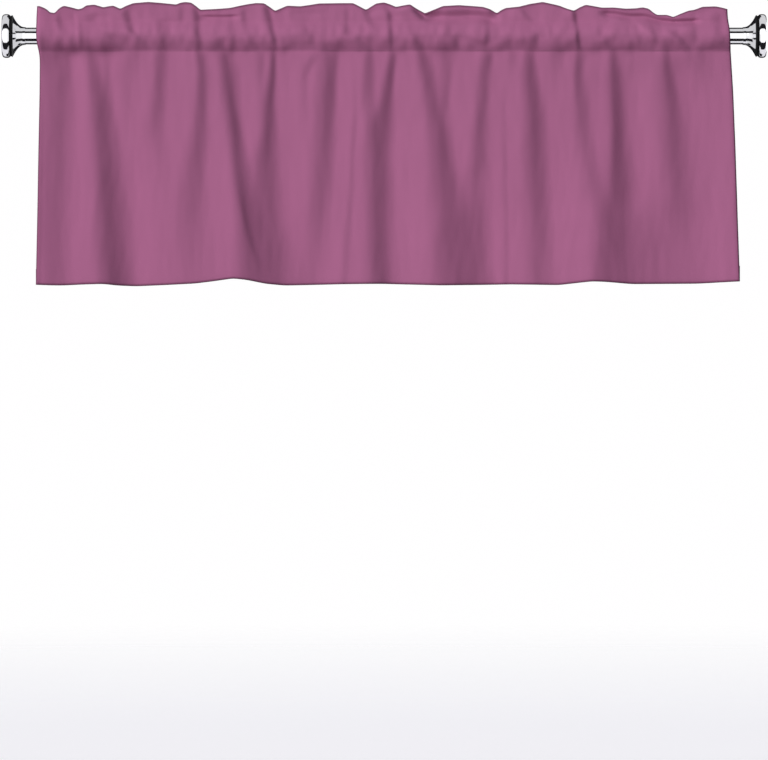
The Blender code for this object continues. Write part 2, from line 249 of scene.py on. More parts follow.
# The folds below the pocket, each a soft step down towards the right. Its marks, from the
# pocket down to the hem, are (down, x, reach to the left, reach to the right, steepness).
# A steepness below zero turns the step the other way.
FOLDS = (
    (
        (52, 64, 40, 12, 0.75), (75, 64, 32, 13, 0.82), (100, 60, 38, 20, 0.72), (160, 58, 38, 22, 0.66),
        (220, 57, 34, 20, 0.65), (284, 56, 34, 20, 0.5),
    ),
    (
        (52, 90, 9, 10, 0.7), (75, 94, 11, 12, 0.84), (100, 99, 14, 15, 0.95), (130, 101, 15, 22, 1.0),
        (160, 104, 16, 25, 0.95), (190, 106, 15, 27, 1.0), (220, 108, 18, 28, 1.0),
        (250, 111, 20, 27, 1.0), (284, 114, 20, 27, 1.0),
    ),
    ((52, 41, 2.5, 2.5, 0.8), (148, 40, 2.5, 2.5, 0.8), (284, 37.5, 2.5, 2.5, 0.8)),
    ((52, 106, 5, 5, 0.3), (75, 107, 5, 6, 0.4), (100, 108, 6, 8, 0.3), (125, 110, 6, 8, 0.0)),
    ((52, 136, 12, 8, 0.35), (75, 127, 14, 12, 0.28), (100, 126, 8, 10, 0.2), (125, 126, 8, 10, 0.0)),
    (
        (52, 161, 8, 9, 0.7), (75, 160, 10, 10, 0.66), (100, 159, 11, 10, 0.62), (130, 154, 12, 14, 0.4),
        (160, 162, 12, 14, 0.22), (185, 166, 12, 14, 0.0),
    ),
    (
        (52, 198, 5, 10, 0.85), (75, 203, 8, 9, 0.74), (100, 202, 10, 9, 0.72), (130, 200, 12, 12, 0.68),
        (160, 198, 18, 12, 0.65), (190, 197, 22, 13, 0.55), (220, 194, 22, 18, 0.45),
        (250, 194, 20, 20, 0.32), (284, 194, 20, 24, 0.15),
    ),
    (
        (52, 223, 8, 12, 0.8), (75, 226, 9, 17, 0.95), (100, 231, 12, 11, 1.0), (130, 236, 12, 9, 1.15),
        (160, 237, 9, 15, 1.02), (190, 240, 10, 20, 1.05), (220, 246, 14, 20, 1.0),
        (250, 252, 21, 22, 0.92), (272, 254, 23, 26, 0.92), (284, 254, 24, 30, 0.85),
    ),
    (
        (185, 240, 3, 3, 0.0), (200, 242, 3, 3, 0.3), (220, 245, 3, 4, 0.5), (250, 253, 3, 4, 0.5),
        (264, 259, 3, 4, 0.3), (274, 263, 4, 4, 0.0),
    ),
    (
        (52, 273, 4, 4, 0.95), (75, 273, 7, 5, 1.05), (100, 270, 11, 7, 1.05), (130, 269, 12, 12, 1.0),
        (160, 266, 18, 18, 0.88), (190, 267, 18, 20, 0.85), (220, 268, 18, 22, 0.85),
        (250, 274, 18, 30, 0.8), (284, 281, 22, 38, 0.6),
    ),
    ((52, 260, 8, 5, 0.45), (75, 261, 7, 6, 0.42), (100, 261, 7, 6, 0.0)),
    ((52, 318, 8, 8, 0.35), (75, 303, 5, 5, 0.32), (100, 303, 6, 8, 0.22), (130, 303, 6, 8, 0.0)),
    (
        (52, 334, 16, 8, 0.7), (75, 333, 18, 5, 0.86), (100, 331, 20, 8, 0.82), (130, 329, 22, 9, 0.74),
        (160, 327, 20, 9, 0.66), (190, 323, 18, 12, 0.58), (220, 320, 18, 14, 0.45),
        (250, 316, 16, 16, 0.3), (284, 312, 16, 16, 0.2),
    ),
    (
        (70, 356, 3, 3, 0.0), (85, 356, 3, 3, 0.15), (130, 354, 3, 4, 0.3), (160, 352, 3, 3, 0.35),
        (190, 351, 4, 4, 0.35), (220, 349, 5, 5, 0.32), (250, 347, 6, 6, 0.32), (284, 344, 7, 7, 0.32),
    ),
    (
        (52, 369, 7, 8, 0.66), (75, 367, 7, 11, 0.72), (100, 369, 10, 9, 0.62), (125, 371, 10, 9, 0.45),
        (150, 373, 8, 8, 0.15), (165, 374, 8, 8, 0.0),
    ),
    (
        (52, 393, 6, 5, 0.85), (75, 391, 9, 5, 1.0), (100, 387, 10, 9, 1.0), (130, 383, 18, 14, 0.95),
        (160, 380, 20, 16, 0.9), (190, 379, 18, 20, 0.9), (250, 379, 18, 20, 0.92),
        (284, 380, 17, 20, 0.9),
    ),
    (
        (52, 421, 7, 11, 0.8), (75, 427, 10, 13, 0.78), (100, 432, 12, 16, 0.75),
        (130, 443, 20, 10, 0.92), (160, 445, 22, 13, 0.92), (190, 447, 24, 20, 0.86),
        (220, 451, 26, 24, 0.88), (250, 449, 25, 27, 0.85), (284, 452, 27, 28, 0.72),
    ),
    ((52, 447, 12, 10, 0.42), (75, 447, 8, 6, 0.46), (100, 447, 6, 5, 0.5), (122, 446, 6, 5, 0.0)),
    (
        (52, 490, 10, 5, 0.72), (75, 486, 12, 8, 0.62), (100, 483, 10, 10, 0.68),
        (130, 480, 12, 12, 0.7), (160, 479, 11, 14, 0.65), (190, 476, 22, 18, 0.45),
        (220, 477, 22, 17, 0.72), (250, 478, 24, 17, 0.78), (284, 480, 26, 18, 0.72),
    ),
    (
        (80, 502, 3, 3, 0.0), (100, 503, 3, 3, 0.15), (160, 505, 3, 4, 0.28), (220, 506, 4, 4, 0.28),
        (284, 506, 4, 5, 0.3),
    ),
    ((52, 514, 8, 6, 0.5), (72, 514, 8, 6, 0.0)),
    (
        (52, 530, 8, 6, 0.8), (75, 531, 13, 9, 0.88), (100, 533, 12, 14, 0.85), (130, 536, 16, 16, 0.8),
        (160, 537, 18, 16, 0.78), (190, 539, 20, 15, 0.75), (220, 540, 20, 16, 0.65),
        (250, 540, 20, 18, 0.57), (284, 541, 20, 20, 0.5),
    ),
    ((52, 558, 14, 10, 0.42), (75, 558, 12, 10, 0.1), (90, 558, 12, 10, 0.0)),
    (
        (52, 578, 4, 12, 0.74), (75, 577, 5, 9, 0.74), (100, 579, 7, 14, 0.62), (130, 584, 12, 12, 0.5),
        (160, 590, 14, 12, 0.42), (190, 597, 20, 14, 0.45), (215, 600, 14, 14, 0.3),
        (235, 602, 14, 14, 0.0),
    ),
    (
        (52, 613, 6, 7, 0.78), (75, 614, 8, 12, 0.79), (100, 616, 10, 13, 0.84),
        (130, 617, 10, 14, 0.86), (160, 617, 12, 18, 0.88), (190, 618, 16, 22, 0.92),
        (220, 614, 24, 28, 0.92), (250, 607, 21, 30, 0.9), (284, 607, 23, 30, 0.85),
    ),
    ((200, 640, 20, 50, 0.0), (220, 640, 24, 60, 0.3), (250, 634, 24, 74, 0.55), (284, 636, 26, 80, 0.6)),
    (
        (52, 668, 7, 4, 0.62), (75, 668, 8, 8, 0.68), (100, 671, 9, 11, 0.54), (130, 674, 12, 14, 0.47),
        (160, 676, 14, 16, 0.4), (190, 680, 15, 16, 0.35), (220, 680, 20, 16, 0.2),
        (245, 680, 20, 16, 0.0),
    ),
    (
        (55, 722, 36, 60, 0.0), (80, 722, 38, 60, -0.4), (160, 722, 38, 60, -0.38),
        (200, 722, 36, 60, -0.32), (284, 722, 36, 60, -0.14),
    ),
    (
        (60, 645, 14, 14, 0.0), (80, 645, 15, 15, -0.34), (110, 646, 15, 15, -0.3),
        (160, 648, 15, 16, -0.26), (210, 650, 15, 16, 0.0),
    ),
    ((150, 142, 22, 22, 0.0), (190, 144, 24, 24, -0.14), (284, 150, 26, 26, -0.14)),
    ((52, 698, 20, 18, 0.32), (75, 703, 12, 18, 0.16), (100, 702, 16, 20, 0.0)),
    ((48, 46, 9, 14, 0.0), (55, 46, 9, 14, 0.32), (62, 46, 9, 14, 0.3), (80, 46, 9, 14, 0.0)),
    (
        (55, 690, 14, 18, 0.0), (72, 690, 15, 20, -0.26), (105, 694, 15, 20, -0.18),
        (150, 694, 15, 20, 0.0),
    ),
)

# The gathers of the pocket and the header, each a short straight step between two ends, as
# (upper x, upper down, lower x, lower down, reach to the left, to the right, steepness)
GATHERS = (
    (57, 14, 60, 30, 4, 5, 0.7), (75, 13, 79, 49, 2.0, 2.0, -0.7), (80, 22, 82, 48, 4, 5, 0.35),
    (93, 12, 90, 24, 6, 6, 0.35), (86, 36, 90, 50, 6, 6, 0.25), (51, 41, 53, 51, 8, 5, -0.5),
    (61, 42, 62, 52, 4, 4, 0.4), (67, 41, 69, 50, 5, 4, -0.5), (93, 41, 96, 50, 6, 7, -0.35),
    (107, 36, 126, 51, 7, 8, 0.7), (125, 9, 129, 31, 6, 6, 1.05), (130, 30, 154, 52, 6, 5, 0.7),
    (160, 20, 166, 50, 8, 8, 0.45), (181, 4, 180, 24, 5, 5, 0.35), (195, 8, 199, 51, 6, 5, 0.85),
    (218, 38, 221, 50, 7, 7, 0.65), (231, 22, 236, 50, 6, 5, 0.4), (243, 10, 245, 27, 5, 4, 0.55),
    (250, 36, 256, 50, 7, 7, 0.7), (266, 6, 271, 26, 7, 4, 1.0), (271, 26, 277, 52, 5, 4, 1.1),
    (287, 36, 288, 50, 8, 10, 0.45), (307, 28, 317, 51, 6, 6, 0.55), (346, 9, 346, 34, 5, 5, 0.45),
    (340, 40, 342, 52, 8, 8, 0.5), (366, 10, 371, 26, 6, 6, 0.75), (356, 37, 370, 52, 5, 6, 0.8),
    (384, 4, 392, 19, 6, 5, 0.5), (389, 12, 392, 50, 5, 3, 0.9), (413, 8, 424, 20, 8, 5, 1.2),
    (415, 36, 422, 52, 7, 6, 0.8), (447, 26, 446, 50, 7, 7, 0.2), (452, 38, 460, 50, 6, 6, 0.6),
    (470, 41, 488, 52, 6, 6, 0.75), (485, 18, 489, 44, 5, 5, 0.6), (489, 9, 499, 21, 6, 4, 0.9),
    (506, 42, 508, 52, 8, 8, 0.5), (521, 8, 530, 20, 6, 5, 0.6), (534, 34, 535, 50, 7, 6, 0.45),
    (568, 16, 568, 30, 8, 6, 0.3), (574, 9, 580, 50, 4, 3, 1.25), (603, 8, 606, 18, 6, 6, 0.25),
    (606, 38, 612, 52, 8, 7, 0.55), (636, 21, 651, 39, 5, 3, -0.45), (650, 24, 658, 42, 4, 4, 0.5),
    (640, 40, 656, 52, 8, 7, 0.55), (670, 30, 692, 51, 7, 6, 0.95), (694, 12, 695, 46, 7, 2.5, 0.45),
    (717, 14, 722, 48, 10, 8, 0.5),
)

# Tucks where the header's upper edge rolls forward, as (line, above, below, depth): along a
# line of (x, down) points the cloth lies further back by depth millimetres, and it comes
# back out within so many dots above and below the line.
TUCKS = (
    (((82, 18), (114, 17)), 6, 7, 1.1),
    (((196, 16.6), (220, 17.0), (243, 16.4)), 3.2, 6, 3.9),
    (((286, 13.5), (332, 13.5)), 6, 7, 1.2),
    (((424, 18.5), (440, 16.6), (470, 15.8), (488, 17), (503, 21)), 7.5, 8, 6.4),
    (
        (
            (596, 12.5), (615, 14), (630, 16.4), (645, 16.2), (652, 18), (660, 20.5), (675, 22), (690, 21.4),
            (704, 20.5),
        ),
        4.2,
        6.5,
        5.2,
    ),
)

# Puffs, where the cloth stands out along the pocket's seam, as (x, half-width in dots, how
# far it stands out in millimetres), and how far down their middles lie
PUFF_DOWN = 47.5
PUFFS = (
    (72, 11, 1.7), (102, 9, 1.5), (131, 8, 1.0), (157, 9, 1.3), (184, 11, 1.0), (208, 10, 2.0),
    (229, 6, 1.2), (244, 7, 1.3), (265, 7, 1.0), (282, 10, 2.6), (321, 8, 1.5), (355, 10, 1.7),
    (379, 9, 0.9), (399, 9, 2.0), (437, 15, 2.6), (466, 9, 1.5), (496, 10, 2.1), (553, 20, 2.6),
    (592, 11, 2.2), (626, 11, 1.4), (662, 9, 1.5), (697, 8, 1.6),
)


class ClothSettings(bpy.types.PropertyGroup):
    """Sizes and colour of the valance."""

    thickness: FloatProperty(
        name="Thickness", description="Thickness of the cloth", default=0.0007, min=0.0003, unit="LENGTH"
    )
    fold_depth: FloatProperty(
        name="Fold depth", description="How steep the deepest folds are", default=0.68, min=0.1, max=1.2
    )
    gather_depth: FloatProperty(
        name="Gather depth", description="How steep the pocket's gathers are",
        default=0.68, min=0.1, max=1.2,
    )
    flat_width: FloatProperty(
        name="Flat width", description="Width of the cloth before it is gathered",
        default=1.27, unit="LENGTH",
    )
    flat_length: FloatProperty(
        name="Flat length", description="Length of the cut, with hem, pocket and header",
        default=0.59, unit="LENGTH",
    )
    thread_pitch: FloatProperty(
        name="Thread pitch", description="Spacing of the weave's threads", default=0.00045, unit="LENGTH"
    )
    colour: FloatVectorProperty(
        name="Colour", description="Colour of the cloth", subtype="COLOR", size=3, min=0.0, max=1.0,
        default=SLOTS["plum_cloth"]["base_color"],
    )


class StitchSettings(bpy.types.PropertyGroup):
    """Sizes of the stitches."""

    length: FloatProperty(name="Length", description="Length of one stitch", default=0.0027, unit="LENGTH")
    gap: FloatProperty(name="Gap", description="Space between two stitches", default=0.0007, unit="LENGTH")
    thread: FloatProperty(
        name="Thread", description="Diameter of the thread", default=0.0004, unit="LENGTH"
    )


class RodSettings(bpy.types.PropertyGroup):
    """Sizes and colour of the rod and its ends."""

    radius: FloatProperty(name="Rod radius", description="Radius of the rod", default=0.014, unit="LENGTH")
    disc_radius: FloatProperty(
        name="Disc radius", description="Radius of a disc", default=0.0364, unit="LENGTH"
    )
    flare_radius: FloatProperty(
        name="Flare", description="Widest radius of a flare", default=0.035, unit="LENGTH"
    )
    neck_at: FloatProperty(
        name="Neck", description="Where each end's neck stops", default=0.039, unit="LENGTH"
    )
    steps: IntProperty(name="Steps", description="Steps round the turned pieces", default=112, min=24)
    colour: FloatVectorProperty(
        name="Colour", description="Colour of the chrome", subtype="COLOR", size=3, min=0.0, max=1.0,
        default=SLOTS["rod_chrome"]["base_color"],
    )


class StageSettings(bpy.types.PropertyGroup):
    """Light, floor and camera."""

    key_turn: FloatProperty(
        name="Key turn", description="How far to the left the key light stands",
        default=math.radians(50), subtype="ANGLE",
    )
    key_height: FloatProperty(
        name="Key height", description="How high the key light stands",
        default=math.radians(14), subtype="ANGLE",
    )
    key_strength: FloatProperty(name="Key strength", description="Strength of the key light", default=2.98)
    fill_strength: FloatProperty(
        name="Fill strength", description="Strength of the soft fill", default=0.31
    )
    camera_away: FloatProperty(
        name="Camera", description="From the rod to the camera", default=10.0, unit="LENGTH"
    )
    floor_z: FloatProperty(
        name="Floor height", description="Height of the floor", default=-1.26, unit="LENGTH"
    )
    floor_colour: FloatVectorProperty(
        name="Floor colour", description="Colour of the floor",
        subtype="COLOR", size=3, default=(0.86, 0.86, 0.87),
    )


# Numbers and smoothing


def to_x(dots):
    """Metres along the rod of a place in dots."""
    return (dots - ORIGIN_X) / DOTS_PER_METRE


def to_dots(x):
    """The dots of a place in metres along the rod."""
    return x * DOTS_PER_METRE + ORIGIN_X


def to_down(z):
    """The dots downwards of a height in metres."""
    return ORIGIN_DOWN - z * DOTS_PER_METRE


def to_z(down):
    """The height in metres of dots downwards."""
    return (ORIGIN_DOWN - down) / DOTS_PER_METRE


def ease(share):
    """A smooth step from 0 to 1 as share goes from 0 to 1."""
    share = np.clip(share, 0.0, 1.0)
    return share * share * (3.0 - 2.0 * share)


def bell(away, left, right):
    """A smooth hill of height 1, which ends at left before and right after its middle."""
    reach = np.where(away < 0.0, left, right)
    return ease(1.0 - np.abs(away) / reach)


def between(at, places, values, spread):
    """Values between places, with the corners rounded over spread."""
    shifts = ((-2, 1), (-1, 4), (0, 6), (1, 4), (2, 1))
    return sum(weight / 16.0 * np.interp(at + shift * spread, places, values) for shift, weight in shifts)


def soften(rows, spread):
    """Smooths each row of values along its columns, over spread columns."""
    reach = int(3 * spread) + 1
    steps = np.arange(-reach, reach + 1)
    weights = np.exp(-0.5 * (steps / spread) ** 2)
    weights /= weights.sum()
    padded = np.pad(rows, ((0, 0), (reach, reach)), mode="reflect", reflect_type="odd")
    return np.stack([np.convolve(row, weights, mode="valid") for row in padded])


def ripple(x, z, size, seed):
    """Small uneven waves, from -1 to 1, that are about size metres wide."""
    flat = [noise.noise(Vector((a / size, b / (3.0 * size), seed))) for a, b in zip(x.flat, z.flat)]
    return np.array(flat).reshape(x.shape)


def added_up(steps):
    """How far each point of a line lies from its start."""
    return np.concatenate([[0.0], np.cumsum(steps)])


# The cloth's shape


def fold_slopes(x, down):
    """How steeply the hanging cloth falls back towards the right, fold by fold."""
    total = np.zeros_like(x)
    for marks in FOLDS:
        places, *columns = zip(*marks)
        middle, left, right, steep = [between(down, places, column, MARK_SPREAD) for column in columns]
        total += steep * bell(x - middle, left * FOLD_REACH, right * FOLD_REACH)
    return total


def gather_slopes(x, down):
    """The same for the gathers of the pocket and the header."""
    total = np.zeros_like(x)
    for upper_x, upper, lower_x, lower, left, right, steep in GATHERS:
        share = (down - upper) / (lower - upper)
        middle = upper_x + (lower_x - upper_x) * share
        end = GATHER_END / (lower - upper)
        shown = ease(0.5 + share / (2.0 * end)) * ease(0.5 + (1.0 - share) / (2.0 * end))
        total += steep * shown * bell(x - middle, left * GATHER_REACH, right * GATHER_REACH)
    return total


def heights_from(slopes, x, spread):
    """Adds slopes up along each row, and takes the slow drift out again."""
    steps = np.diff(x, axis=1) * (slopes[:, 1:] + slopes[:, :-1]) / 2.0
    fallen = np.concatenate([np.zeros((len(x), 1)), np.cumsum(steps, axis=1)], axis=1)
    return soften(fallen, spread) - fallen


def tuck_depths(x, down):
    """How far the level tucks push the header back."""
    total = np.zeros_like(x)
    for line, above, below, depth in TUCKS:
        places, downs = zip(*line)
        shown = ease((x - places[0]) / TUCK_END) * ease((places[-1] - x) / TUCK_END)
        total += depth * MM * shown * bell(down - between(x, places, downs, 2.0), above, below)
    return total


def puff_depths(x, down):
    """How far the puffs bring the cloth forward along the seam."""
    total = sum(depth * MM * bell(x - middle, wide, wide) for middle, wide, depth in PUFFS)
    return total * bell(down - PUFF_DOWN, 9.0, 10.0)


def edge_z(points, x, spread):
    """The height of the top edge or the hem at x, in metres."""
    return to_z(between(to_dots(x), *zip(*points), spread))


def column_x(share, z):
    """Where the columns of the cloth lie at the heights z."""
    places, *edges = zip(*SIDES)
    left, right = [between(to_down(z), places, to_x(np.array(edge)), 4.0) for edge in edges]
    return left + (right - left) * share


def stretch(start, end, rows, closing=1.0):
    """Heights from start towards end in rows; the rows crowd towards the end as closing grows."""
    steps = 1.0 - (1.0 - (np.arange(rows) + 1.0) / rows) ** closing
    return start + (end - start) * steps[:, None]


def front_heights(foot, top):
    """The heights of the rows on the front, from the hem's fold to the top fold."""
    seam = np.full_like(foot, SEAM_Z * MM)
    stitch = np.full_like(foot, STITCH_Z * MM)
    body = stretch(foot, seam, BODY_ROWS, 1.25)
    pocket = stretch(seam, stitch, POCKET_ROWS)
    header = stretch(stitch, top, HEADER_ROWS, 1.15)
    return np.concatenate([foot[None, :], body, pocket, header])


def front_face(x, z, settings):
    """How far back the front of the cloth lies at x and z, in metres."""
    dots, down = to_dots(x), to_down(z)
    weaker = 1.0 - WEAKER_SHARE * ease((down - WEAKER_START) / WEAKER_FADE)
    gathers = settings.gather_depth * gather_slopes(dots, down) * weaker
    low = ease((down - FOLDS_START) / FOLDS_FADE)
    upper = 1.0 - low
    hanging = heights_from(settings.fold_depth * fold_slopes(dots, down), x, FOLD_DRIFT)
    out = hanging * low + heights_from(gathers, x, GATHER_DRIFT) * upper
    out = out + FINE_WAVE * ripple(x, z, 0.011, 1.7)
    out = out + (BROAD_WAVE + HEADER_WAVE * upper) * ripple(x, z, 0.036, 5.1)
    out = out + CRUMPLE_WAVE * upper * ripple(x, z * 2.5, 0.016, 3.3)
    placed = plain_face(x, z) - out + tuck_depths(dots, down) - puff_depths(dots, down)
    return np.minimum(placed, -rod_side(z))


def plain_face(x, z):
    """The same for the cloth without folds: header, round pocket and hanging part."""
    below = SEAM_Z * MM - z
    hang_y = -(HANG_FRONT + HANG_SEAM * ease(below / 0.012) + HANG_LOW * ease(below / 0.25))
    inside = ease(1.0 - np.abs(z) / (STITCH_Z * MM))
    level = 0.0 * z
    lifted = z / MM + inside * (5.0 * ripple(x, level, 0.034, 7.7) + 3.5 * ripple(x, level, 0.012, 8.8))
    pocket_y = -MM * between(lifted, *zip(*POCKET), 1.6)
    header_y = -HEADER_FRONT + HEADER_LEAN * (z - STITCH_Z * MM)
    return np.where(z < SEAM_Z * MM, hang_y, np.where(z < STITCH_Z * MM, pocket_y, header_y))


def rod_side(z):
    """How far from the rod's axis the cloth has to keep at the height z, to either side."""
    inside = np.sqrt(np.maximum((ROD_CLEAR * MM) ** 2 - z**2, 0.0))
    return inside - np.where(np.abs(z) < ROD_CLEAR * MM, 0.0, 1.0)


def cloth_grid(settings):
    """The points of the whole cloth, row by row, from the hem's edge to the pocket's tail."""
    share = np.linspace(0.0, 1.0, COLUMNS)
    foot = edge_z(HEM_EDGE, column_x(share, np.full(COLUMNS, to_z(HEM_DOWN))), HEM_SPREAD)
    top = edge_z(TOP_EDGE, column_x(share, np.full(COLUMNS, to_z(TOP_DOWN))), TOP_SPREAD)
    z = front_heights(foot, top)
    x = column_x(share[None, :], z)
    turned = SIDE_TURN * (ease(1.0 - share / SIDE_SHARE) + ease(1.0 - (1.0 - share) / SIDE_SHARE))
    y = front_face(x, z, settings) + turned[None, :]
    front = np.stack([x, y, z], axis=2)
    hem_fold = half_turn(front[0], HEM_GAP, HEM_FOLD_ROWS, -1.0)
    top_fold = half_turn(front[-1], HEADER_GAP, TOP_FOLD_ROWS, 1.0)
    back = [header_back(front), pocket_back(front, share)]
    return np.concatenate([hem_back(front, foot), hem_fold, front, top_fold, *back])


def hem_back(front, foot):
    """The hem's turned-up part behind the cloth, from its edge down to its fold."""
    z = foot + MM * HEM_DEPTH * (1.0 - np.arange(HEM_BACK_ROWS)[:, None] / HEM_BACK_ROWS)
    lowest = front[:HEM_LOOK_ROWS]
    y = [[np.interp(row[c], lowest[:, c, 2], lowest[:, c, 1]) for c in range(COLUMNS)] for row in z]
    x = np.repeat(front[:1, :, 0], HEM_BACK_ROWS, axis=0)
    return np.stack([x, np.array(y) + HEM_GAP * MM, z], axis=2)


def half_turn(edge, gap, rows, side):
    """A fold, half a turn round an edge of the front; side is 1 over the top and -1 under the hem."""
    turn = math.pi * (np.arange(rows)[:, None] + 0.5) / rows
    half = gap * MM / 2.0
    y = edge[:, 1] + half - side * half * np.cos(turn)
    z = edge[:, 2] + side * half * np.sin(turn)
    return np.stack([np.repeat(edge[None, :, 0], rows, axis=0), y, z], axis=2)


def header_back(front):
    """The back of the header, from its fold down to the stitches."""
    picks = np.linspace(len(front) - 1, STITCH_ROW, HEADER_BACK_ROWS).round().astype(int)
    rows = front[picks].copy()
    rows[:, :, 1] += HEADER_GAP * MM
    return rows


def pocket_back(front, share):
    """The back of the pocket, from the header's stitches down to its seam, and its tail."""
    rows = []
    for z in np.linspace(STITCH_Z, SEAM_Z, POCKET_BACK_ROWS + 1)[1:] * MM:
        level = np.full(COLUMNS, z)
        low = (STITCH_Z * MM - z) / ((STITCH_Z - SEAM_Z) * MM)
        joined = front[STITCH_ROW, :, 1] * (1.0 - low) + front[SEAM_ROW, :, 1] * low + HEADER_GAP * MM
        bulge = MM * np.interp(z / MM, *zip(*POCKET)) - BACK_CLOSER
        x = column_x(share, level)
        waves = BACK_WAVE * ripple(x, level * 0.5, 0.012, 9.3) * math.sin(math.pi * low)
        full = math.sin(math.pi * low) ** BACK_FULL
        y = joined * (1.0 - full) + (bulge + waves) * full
        rows.append(np.stack([x, np.maximum(y, rod_side(level)), level], axis=1))
    for step in range(1, TAIL_ROWS + 1):
        tail = front[SEAM_ROW - step].copy()
        tail[:, 1] += HEADER_GAP * MM
        tail[:, 2] = SEAM_Z * MM - TAIL_STEP * step
        rows.append(tail)
    return np.stack(rows)


def cloth_lengths(grid):
    """Where each point lies on the flat cloth: across, and along its length."""
    across = np.linalg.norm(np.diff(grid, axis=1), axis=2).mean(axis=0)
    along = np.linalg.norm(np.diff(grid, axis=0), axis=2).mean(axis=1)
    return added_up(across), added_up(along)


def finished_mesh(name, bm):
    """A mesh made from a bmesh, which it frees."""
    mesh = bpy.data.meshes.new(name)
    bm.to_mesh(mesh)
    bm.free()
    return mesh


def sheet_mesh(name, grid):
    """A mesh grid bent through the points of grid, with a UV map in metres."""
    rows, columns = grid.shape[:2]
    bm = bmesh.new()
    bmesh.ops.create_grid(bm, x_segments=columns - 1, y_segments=rows - 1, size=1.0)
    order = sorted(bm.verts, key=lambda vert: (round(vert.co.y * rows), vert.co.x))
    u, v = cloth_lengths(grid)
    places = {}
    for i, vert in enumerate(order):
        row, column = divmod(i, columns)
        vert.co = grid[row, column]
        places[vert] = (u[column], v[row])
    layer = bm.loops.layers.uv.new("cloth")
    for face in bm.faces:
        for loop in face.loops:
            loop[layer].uv = places[loop.vert]
    mesh = finished_mesh(name, bm)
    mesh.shade_smooth()
    return mesh


def stitch_mesh(name, lines, stitch):
    """Rows of stitches along lines of points, each on the side of the cloth it faces."""
    bm = bmesh.new()
    bmesh.ops.create_uvsphere(bm, u_segments=6, v_segments=4, radius=0.5)
    bmesh.ops.scale(bm, vec=(stitch.thread, stitch.thread, stitch.length), verts=bm.verts)
    single = bpy.data.meshes.new(name)
    bm.to_mesh(single)
    bm.clear()
    for line, side in lines:
        places = added_up(np.linalg.norm(np.diff(line, axis=0), axis=1))
        starts = np.arange(stitch.gap, places[-1] - stitch.length, stitch.length + stitch.gap)
        first, last = [
            np.stack([np.interp(at, places, line[:, k]) for k in range(3)], axis=1)
            for at in (starts, starts + stitch.length)
        ]
        for a, b in zip(first, last):
            run = Vector(b - a)
            out = Vector((run.y, -run.x, 0.0)).normalized() * side
            middle = Vector((a + b) / 2.0) + out * stitch.thread * 0.9
            one = single.copy()
            one.transform(Matrix.Translation(middle) @ run.to_track_quat("Z", "Y").to_matrix().to_4x4())
            bm.from_mesh(one)
            bpy.data.meshes.remove(one)
    bm.to_mesh(single)
    bm.free()
    single.shade_smooth()
    return single


def turned_mesh(name, profile, steps):
    """Turns a profile of (x, radius) points, in metres, round the rod's axis."""
    bm = bmesh.new()
    verts = [bm.verts.new((x, 0.0, radius)) for x, radius in profile]
    edges = [bm.edges.new(pair) for pair in zip(verts, verts[1:])]
    round_axis = {"cent": (0.0, 0.0, 0.0), "axis": (1.0, 0.0, 0.0), "angle": 2.0 * math.pi}
    bmesh.ops.spin(bm, geom=verts + edges, steps=steps, use_merge=True, **round_axis)
    bmesh.ops.remove_doubles(bm, verts=bm.verts, dist=1e-6)
    bmesh.ops.recalc_face_normals(bm, faces=bm.faces)
    mesh = finished_mesh(name, bm)
    mesh.shade_smooth()
    mesh.set_sharp_from_angle(angle=math.radians(35.0))
    return mesh


def arc(centre_x, centre_r, radius_x, radius_r, start, end, steps):
    """Profile points on an ellipse, from one angle to another in degrees."""
    turns = [math.radians(start + (end - start) * i / steps) for i in range(steps + 1)]
    return [(centre_x + radius_x * math.cos(turn), centre_r + radius_r * math.sin(turn)) for turn in turns]


def crown(centre_x, centre_r, radius_x, radius_r, steps):
    """Profile points of the disc's rounded rim, squarer than an ellipse."""
    points = []
    for i in range(steps + 1):
        turn = math.radians(178.0 - 176.0 * i / steps)
        along = math.copysign(abs(math.cos(turn)) ** RIM_POWER, math.cos(turn))
        points.append((centre_x + radius_x * along, centre_r + radius_r * math.sin(turn) ** RIM_POWER))
    return points


def end_profile(rod):
    """An end's outline, from its flat face round the disc and the flare to its neck."""
    lip_at = DISC_THICK + GROOVE_WIDE
    flare_at = lip_at + 0.0014
    foot_at = rod.neck_at - 0.0006
    face = rod.disc_radius - DISC_RIM
    neck = rod.radius + NECK_WALL
    inside = rod.radius + SOCKET_GAP
    profile = [(0.0, 0.0), (0.0, face * 0.5), (0.0, face * 0.93)]
    profile += crown(DISC_THICK / 2.0, face, DISC_THICK / 2.0, DISC_RIM, 40)
    profile += [(at, rod.flare_radius - GROOVE_DEEP) for at in (DISC_THICK, lip_at)]
    profile += [(lip_at + 0.0002, rod.flare_radius - LIP_ROUND)]
    profile += arc(lip_at + 0.0006, rod.flare_radius - LIP_ROUND, LIP_ROUND, LIP_ROUND, 150.0, 20.0, 4)
    for i in range(1, FLARE_STEPS + 1):
        rest = 1.0 - i / FLARE_STEPS
        radius = neck + (rod.flare_radius - NECK_ROUND - neck) * rest**FLARE_POWER
        profile.append((foot_at - (foot_at - flare_at) * rest, radius))
    profile += arc(rod.neck_at - NECK_ROUND, neck - NECK_ROUND, NECK_ROUND, NECK_ROUND, 80.0, 0.0, 3)
    bottom = rod.neck_at - SOCKET_DEEP
    return profile + [(rod.neck_at, inside), (bottom, inside), (bottom, 0.0)]


# Shader nodes


